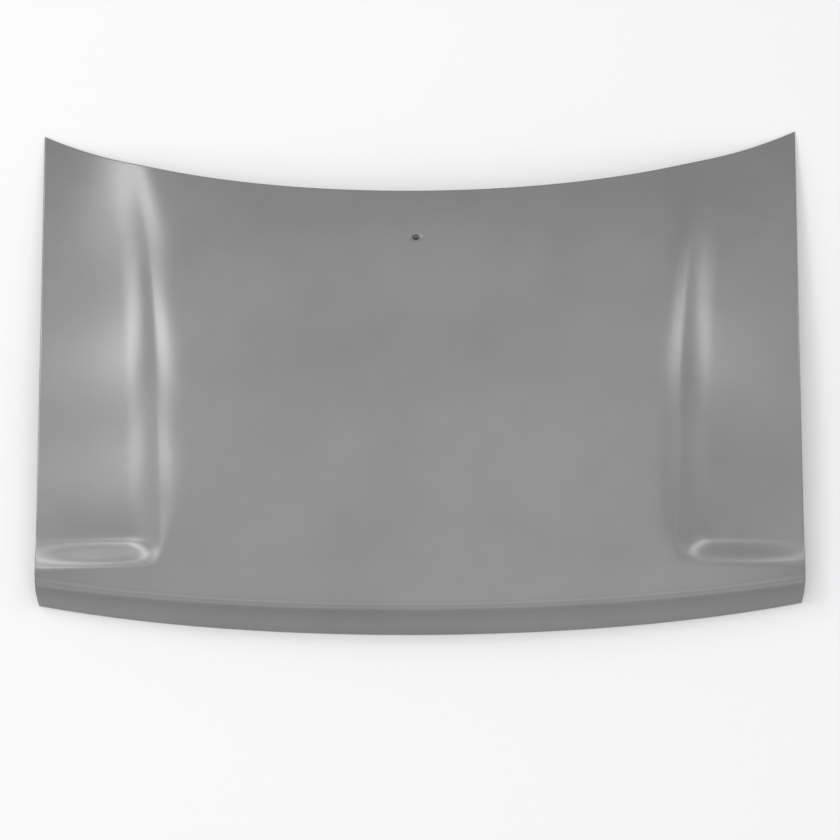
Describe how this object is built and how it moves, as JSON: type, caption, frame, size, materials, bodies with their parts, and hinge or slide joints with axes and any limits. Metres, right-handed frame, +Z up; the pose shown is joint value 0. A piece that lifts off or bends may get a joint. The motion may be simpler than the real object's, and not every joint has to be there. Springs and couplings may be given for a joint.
{
  "type": "car bonnet",
  "caption": "Hatchback bonnet: hemmed steel outer skin with lowered side strips and a short turned-down nose, over a ribbed inner frame with hinge pads and striker.",
  "frame": {"origin": "on the floor under the middle of the bonnet, which lies outer side up on its hinge pads and the hem of its nose", "axes": "+Z up, towards the outer side; -Y towards the nose; +X towards the left side of the car"},
  "size_m": [1.4098, 0.9524, 0.0931],
  "materials": {
    "skin_primer": "satin grey primer",
    "frame_primer": "dull grey dip primer",
    "plate_primer": "dull grey dip primer",
    "zinc": "zinc plated",
    "mastic": "dull soft mastic"
  },
  "bodies": {
    "root": {"hinge_nut_left_front": "zinc", "hinge_nut_left_rear": "zinc", "hinge_nut_right_front": "zinc", "hinge_nut_right_rear": "zinc", "hinge_plate_left": "plate_primer", "hinge_plate_right": "plate_primer", "inner_frame": "frame_primer", "latch_plate": "plate_primer", "mastic_dab_01": "mastic", "mastic_dab_02": "mastic", "mastic_dab_03": "mastic", "mastic_dab_04": "mastic", "mastic_dab_05": "mastic", "mastic_dab_06": "mastic", "mastic_dab_07": "mastic", "mastic_dab_08": "mastic", "mastic_dab_09": "mastic", "mastic_dab_10": "mastic", "mastic_dab_11": "mastic", "mastic_dab_12": "mastic", "mastic_dab_13": "mastic", "mastic_dab_14": "mastic", "mastic_dab_15": "mastic", "mastic_dab_16": "mastic", "mastic_dab_17": "mastic", "mastic_dab_18": "mastic", "outer_skin": "skin_primer", "striker_bolt_left": "zinc", "striker_bolt_right": "zinc", "striker_loop": "zinc", "striker_nut_left": "zinc", "striker_nut_right": "zinc", "striker_plate": "zinc"}
  },
  "joints": []
}
